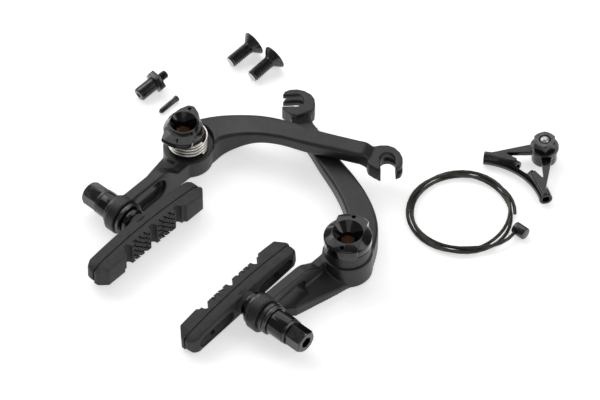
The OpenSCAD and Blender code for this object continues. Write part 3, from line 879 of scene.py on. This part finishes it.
route = wire_route()
straddle = wire("straddle_wire", route, wire_radius)
dress(straddle, wire_black, "wire_black", "laid_out", "straddle_cable")
barrel = size("cable_barrel") / MM
barrel_section = [(0, 0), (barrel.y / 2, 0), (barrel.y / 2, barrel.x), (0, barrel.x)]
barrel_end = turned("barrel_end", barrel_section, ease=0.7)
barrel_foot = middle("cable_barrel") - Vector((size("cable_barrel").x / 2, 0, 0))
barrel_end.data.transform(Matrix.Translation(barrel_foot) @ turn_to((1, 0, 0)))
dress(barrel_end, black_steel, "black_steel", "laid_out", "cable_barrel")

# %% [markdown]
# ## Hardware on the pads' studs
# A pad tilts in pairs of washers, a cup and a ball that turns in it, one pair on each side of the
# leg, with a spacer, a washer and a nut outside. All are turned, so each is a half section spun
# round the stud. The section's own zero is where the piece touches its neighbour, and the CAD
# piece's box tells where along the stud that is.

# %% Hardware on the pads' studs
stud_bore = 3.05
ball_rise = 0.65


def on_stud(node, side, section, facing, material, slot, nose=0.0):
    """Turned piece in its CAD piece's place. Facing 1 points at the pad, -1 away from it."""
    low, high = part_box(node + "_" + side)
    centre = middle("stud_" + side)
    sign = facing if side == "left" else -facing
    start = (low[0] if sign > 0 else high[0]) + sign * nose * MM
    piece = turned("turned_" + node + "_" + side, section, True)
    piece.data.transform(Matrix.Translation((start, centre.y, centre.z)) @ turn_to((sign, 0, 0)))
    return dress(piece, material, slot, side + "_arm", node + "_" + side)


def cup_section(r):
    return [
        (stud_bore, 0), (r - 0.4, 0), (r, 0.4), (r, 2.0),
        (r - 0.4, 2.4), (6.4, 2.4), (5.8, 1.7), (stud_bore, 1.7),
    ]


def ball_section(height):
    return [
        (stud_bore, -ball_rise), (5.7, -ball_rise), (6.3, 0.05),
        (6.3, height - 0.4), (5.9, height), (stud_bore, height),
    ]


for side in SIDES:
    on_stud("inner_cup", side, cup_section(8.0), 1, dark_steel, "dark_steel")
    on_stud("inner_ball", side, ball_section(3.1), 1, gloss_black, "black_steel", ball_rise)
    on_stud("outer_cup", side, cup_section(7.4), -1, dark_steel, "dark_steel")
    spacer = ball_section(size("spacer_" + side).x / MM - ball_rise)
    on_stud("spacer", side, spacer, -1, gloss_black, "black_steel", ball_rise)
    on_stud("washer", side, ring_section(stud_bore, 6.1, 0, 1.2), -1, dark_steel, "dark_steel")
on_stud("shim", "right", ring_section(stud_bore, 7.4, 0, 2.4), -1, dark_steel, "dark_steel")
print("spacers are", [round(size("spacer_" + side).x / MM, 1) for side in SIDES], "mm long")

# %% [markdown]
# ## Small hardware
# The nuts, studs, bushings and the crimp cap keep their CAD shape. A narrow bevel on every sharp
# edge is enough: it catches a thin line of light, as a deburred edge does. The washer under the
# hanger's nut is turned anew.

# %% Small hardware
def bevel(node, width, material, angle=30):
    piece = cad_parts[node]
    piece.data.materials.clear()
    piece.data.materials.append(material)
    step = piece.modifiers.new("weld", "WELD")
    step.merge_threshold = weld_distance
    step = piece.modifiers.new("edge", "BEVEL")
    step.width = width
    step.segments = 2
    step.limit_method = "ANGLE"
    step.angle_limit = math.radians(angle)
    step.use_clamp_overlap = True
    return piece


for side in SIDES:
    bevel("bushing_" + side, 0.15 * MM, bronze)
    bevel("nut_" + side, 0.22 * MM, black_steel)
    bevel("stud_" + side, 0.15 * MM, black_steel)
bevel("cable_end_cap", 0.1 * MM, black_steel)
bevel("hanger_nut", 0.2 * MM, dark_steel)
seat_washer = turned("pinch_washer", ring_section(2.75, 6.6, 0, 1.5), True)
seat = middle("hanger_washer")
seat_washer.data.transform(Matrix.Translation((seat.x, seat.y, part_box("hanger_washer")[0][2])))
dress(seat_washer, dark_steel, "black_steel", "laid_out", "hanger_washer")
print("small pieces dressed")

# %% [markdown]
# ## Spring caps
# A cap closes each spring and is turned with a pin spanner, so it has a deep funnel and two ears
# with a pin hole each. Between the ears the right cap is a cone, and the left one is cut away at
# a slant. It is built as it is machined: a turned blank, milled to the ears' outline, then cut,
# bored and drilled.

# %% Blank and cutters of a cap
cap_turn = math.radians(116)
cap_places = {
    "left": Vector((pivot["left"].x - 1.5 * MM, -1.3 * MM, 0)),
    "right": Vector((pivot["right"].x, 0, 0)),
}
cap_top = 6.6
cap_bore = 3.2
cap_shapes = {
    "left": {
        "reach": 13.2, "flange": 9.2, "shoulder": 2.6, "ear": 5.2,
        "under": 2.4, "sink": 4.2, "spread": 0.75, "holes": 10.3,
    },
    "right": {
        "reach": 12.0, "flange": 11.0, "shoulder": 3.6, "ear": 6.6,
        "under": 0.0, "sink": 4.1, "spread": 0.95, "holes": 9.65,
    },
}
lobe = [
    (-13.6, -7.1), (3.0, -7.4), (9.0, -4.4), (12.2, -1.6), (12.9, 0),
    (12.2, 1.6), (9.0, 4.4), (3.0, 7.4), (-13.6, 7.1),
]
plain_ears = [(-13, -7.1), (13, -7.1), (13, 7.1), (-13, 7.1)]


def in_mm(x, y, z):
    return (x * MM, y * MM, z * MM)


def cap_ears(shape, plan):
    """Disc with a top that falls away outwards, milled to the plan of the ears."""
    r, top, under = shape["reach"], shape["ear"], shape["under"]
    section = [
        (0, under), (r - 0.3, under), (r, under + 0.4), (r, top - 1.5),
        (r - 0.7, top - 0.8), (6.9, top), (0, top),
    ]
    ears = turned("ears", section, ease=0.25)
    outline = prism("outline", [[(x, y, z) for x, y in plan] for z in (-1, 8)], in_mm)
    return combine(ears, [outline], "INTERSECT")


def slant_cutter(side_of):
    """Slanting plane beside the funnel, as a solid that takes away all outside it."""
    section = [(5.9, 6.9), (9.7, 2.9), (15, 2.9), (15, 8)]
    return prism("slant", [[(x, side_of * y, z) for y, z in section] for x in (-15, 15)], in_mm)


# %% [markdown]
# The blank is the ears joined with the cone. The slants, the funnel and the pin holes are cut from
# it, and the finished cap is turned to its angle and set on its spring. The left cap lies a little
# out of line with its bore, as it was put down.

# %% Spring caps
def make_cap(side):
    shape = cap_shapes[side]
    flange, shoulder, sink = shape["flange"], shape["shoulder"], shape["sink"]
    cap = cap_ears(shape, lobe if side == "left" else plain_ears)
    section = [
        (0, 0), (flange - 0.5, 0), (flange, 0.5), (flange, shoulder),
        (flange - 0.4, shoulder + 0.4), (7.35, cap_top - 0.3), (7.1, cap_top), (0, cap_top),
    ]
    combine(cap, [turned("cone", section, ease=0.2)], "UNION")
    if side == "left":
        combine(cap, [slant_cutter(-1), slant_cutter(1)], "DIFFERENCE")
    rim = cap_top + 0.6
    mouth = cap_bore + (sink + 0.6) * shape["spread"]
    section = [(0, -1), (cap_bore, -1), (cap_bore, cap_top - sink), (mouth, rim), (0, rim)]
    funnel = turned("funnel", section)
    holes = [rod("hole", 1.1 * MM, (x * MM, 0, -MM), (x * MM, 0, 9 * MM), 32)
             for x in (-shape["holes"], shape["holes"])]
    combine(cap, [funnel] + holes, "DIFFERENCE")
    place = cap_places[side] + Vector((0, 0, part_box("cap_" + side)[0][2]))
    cap.data.transform(Matrix.Translation(place) @ Matrix.Rotation(cap_turn, 4, "Z"))
    cap.name = "spring_cap_" + side
    shade(cap)
    return dress(cap, gloss_black, "cap_finish", "laid_out", "cap_" + side)


caps = [make_cap(side) for side in SIDES]
print("caps have", [len(cap.data.polygons) for cap in caps], "faces")

# %% [markdown]
# ## Screws
# The screws are made new, because their threads are what one sees of them. Each is drawn standing
# on its head and then laid down. A cone and a shank of different radii touch the table at two
# points, and those two points give the tilt of the axis and its height above the table.

# %% Laying a screw down
def lying(place, turn, head, tip):
    """Matrix that lays down a piece drawn on +Z, with two (height, radius) points on the table."""
    tilt = math.atan2(head[1] - tip[1], tip[0] - head[0])
    rise = math.hypot(tip[0] - head[0], head[1] - tip[1])
    height = (head[1] * (tip[0] - head[0]) + head[0] * (head[1] - tip[1])) / rise
    return (
        Matrix.Translation(Vector((*place, height)) * MM)
        @ Matrix.Rotation(math.radians(turn), 4, "Z")
        @ Matrix.Rotation(tilt + math.pi / 2, 4, "Y")
    )


def hexagon(name, across, low, high):
    """Hexagon prism on the Z axis, sizes in millimetres."""
    corner = across / math.sqrt(3)
    angles = [math.radians(60 * k) for k in range(6)]
    rings = [[(corner * math.cos(a), corner * math.sin(a), z) for a in angles] for z in (low, high)]
    return prism(name, rings, in_mm)


# %% [markdown]
# ### Mounting screws
# Two M6 screws with countersunk heads. The thread runs from just under the head to the end, where
# the cut end shows lighter steel, so that end gets the second material.

# %% Mounting screws
def bare_end(piece, axis_low, axis_high, share=0.93):
    """Gives the faces near the cut end the bare steel."""
    piece.data.materials.append(bare_steel)
    axis = axis_high - axis_low
    for polygon in piece.data.polygons:
        reach = (polygon.center - axis_low).dot(axis) / axis.length_squared
        if reach > share and abs(polygon.normal.dot(axis.normalized())) > 0.9:
            polygon.material_index = 1


def make_mount_screw(number, place, turn):
    head = turned(
        "mounting_screw_" + str(number),
        [(0, 0), (6.0, 0), (6.0, 0.5), (3.0, 3.5), (2.9, 4.2), (2.6, 4.4), (0, 4.4)], ease=0.12,
    )
    socket = hexagon("socket", 4, -1, 2.4)
    combine(head, [socket], "DIFFERENCE")
    shank = threaded("shank", 3.0, 1.0, 0.58, 3.4, 15.0)
    combine(head, [shank], "UNION")
    laid = lying(place, turn, (0.5, 6.0), (14.5, 3.0))
    head.data.transform(laid)
    shade(head, math.radians(40))
    dress(head, black_steel, "black_steel", "laid_out", "mount_screw_" + str(number))
    bare_end(head, laid @ Vector(), laid @ Vector((0, 0, 15 * MM)))
    return head


screws = [make_mount_screw(1, (-73.1, 70.7), -97), make_mount_screw(2, (-60.08, 70.7), -95)]
gap = (Vector(screws[0].bound_box[0]) - Vector(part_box("mount_screw_1")[0])) / MM
print("screw off the CAD place by", [round(v, 2) for v in gap])

# %% [markdown]
# ### Anchor stud and pinch bolt
# The anchor stud has a smooth shank, a hexagon flange and a short thread. The pinch bolt of the
# cable hanger stands on its round head, and its threaded end comes up through the nut and ends
# in a small bare dome.

# %% Anchor stud and pinch bolt
def make_anchor():
    anchor = turned("anchor_stud_body", [(0, 0), (2.8, 0), (3.3, 0.5), (3.3, 9.8), (0, 9.8)], ease=0.2)
    flange = hexagon("flange", 9.6, 9.3, 12.3)
    flange.data.transform(Matrix.Rotation(math.radians(30), 4, "Z"))
    step = flange.modifiers.new("edge", "BEVEL")
    step.width = 0.3 * MM
    step.segments = 2
    bake(flange)
    thread = threaded("thread", 2.1, 0.8, 0.42, 12.0, 16.9, 36)
    hole = rod("hole", 1.25 * MM, (0, 0, -2 * MM), (0, 0, 5 * MM), 32)
    combine(anchor, [flange, thread], "UNION")
    combine(anchor, [hole], "DIFFERENCE")
    anchor.data.transform(lying((-92, 12.2), 84, (0.5, 3.3), (9.3, 4.8)))
    shade(anchor, math.radians(35))
    return dress(anchor, black_steel, "black_steel", "laid_out", "anchor_stud")


def make_pinch_bolt():
    centre = middle("hanger_bolt")
    top = size("hanger_bolt").z / MM
    section = [(0, 0), (5.4, 0), (5.9, 0.5), (5.9, 4.5), (2.6, 4.5), (2.6, 5), (0, 5)]
    bolt = turned("pinch_bolt", section, ease=0.3)
    foot = top - 1.5
    section = [(0, foot), (2.3, foot), (2.2, top + 0.1), (1.3, top + 0.7), (0, top + 0.9)]
    dome = turned("dome", section, ease=0.5)
    combine(bolt, [threaded("thread", 2.7, 0.9, 0.45, 4.0, top), dome], "UNION")
    bolt.data.transform(Matrix.Translation((centre.x, centre.y, 0)))
    shade(bolt, math.radians(40))
    dress(bolt, black_steel, "black_steel", "laid_out", "hanger_bolt")
    bolt.data.materials.append(bare_steel)
    for polygon in bolt.data.polygons:
        if polygon.center.z > (top + 0.05) * MM:
            polygon.material_index = 1
    return bolt


anchor = make_anchor()
pinch_bolt = make_pinch_bolt()

# %% [markdown]
# ## Cable hanger
# The hanger is a small casting: two tubes on an arch and two legs to the ring round its bolt. It
# has the same soft corners as the arms, on a finer grid because it is so much smaller.

# %% Cable hanger
hanger = copy_of("hanger_yoke", "cast_hanger")
wear_soft(hanger, 0.22 * MM, 4)
shade(hanger)
dress(hanger, gloss_black, "dark_steel", "laid_out", "hanger_yoke")
print("hanger has", len(hanger.data.polygons), "faces")

# %% [markdown]
# ## Table and light
# A plain white table runs back out of sight. It looks pure white to the camera and to anything
# shiny, because there it glows a little, and yet it still takes the brake's shadow.

# %% Table
table_glow = 0.55


def make_table():
    work = bmesh.new()
    bmesh.ops.create_grid(work, x_segments=1, y_segments=1, size=3)
    table = piece_from("table", work)
    table.location.z = -0.1 * MM
    material, tree, shader = new_finish("table_white", (0.9, 0.9, 0.9), 0.0, 0.6)
    vary_rough(tree, shader, noise(tree, 20), 0.55, 0.65)
    ray = add(tree, "ShaderNodeLightPath")
    seen = add(tree, "ShaderNodeMath", {"operation": "MAXIMUM"})
    lift = add(tree, "ShaderNodeMath", {"operation": "MULTIPLY"}, {1: table_glow})
    tree.links.new(ray.outputs["Is Camera Ray"], seen.inputs[0])
    tree.links.new(ray.outputs["Is Glossy Ray"], seen.inputs[1])
    tree.links.new(seen.outputs["Value"], lift.inputs[0])
    shader.inputs["Emission Color"].default_value = (1, 1, 1, 1)
    tree.links.new(lift.outputs["Value"], shader.inputs["Emission Strength"])
    table.data.materials.append(material)
    return table


table = make_table()

# %% [markdown]
# Four large soft lamps give the long quiet highlights of a product picture. The largest stands
# behind the brake, where the flat tops of the arms mirror it towards the camera. The two at the
# sides draw the edges, and a weak one in front opens the shadows. The room adds a faint even light.

# %% World and lamps
world = bpy.data.worlds.new("studio")
world.use_nodes = True
bpy.context.scene.world = world
sky = world.node_tree.nodes["Background"]
sky.inputs["Color"].default_value = (1, 1, 1, 1)
sky.inputs["Strength"].default_value = 0.2


def lamp(name, place, width, depth, power):
    """Large soft lamp that looks at the brake."""
    data = bpy.data.lights.new(name, "AREA")
    data.shape = "RECTANGLE"
    data.size = width
    data.size_y = depth
    data.energy = power
    piece = put_in_scene(name, data)
    piece.location = place
    piece.rotation_euler = (look_at - Vector(place)).to_track_quat("-Z", "Y").to_euler()
    return piece


lamp("lamp_behind", (-0.6, 0.65, 1.0), 1.5, 1.1, 6.5)
lamp("lamp_left", (-0.95, -0.1, 0.85), 0.9, 0.9, 4.5)
lamp("lamp_right", (0.9, 0.5, 0.6), 0.5, 0.9, 2.5)
lamp("lamp_front", (0.55, -0.75, 0.85), 0.8, 0.8, 1.2)
print("lamps:", len(bpy.data.lights))

bpy.context.scene.view_settings.view_transform = "Standard"

# %% [markdown]
# ## Finish
# The last step brings the scene up to date.

# %% Finish
bpy.context.view_layer.update()
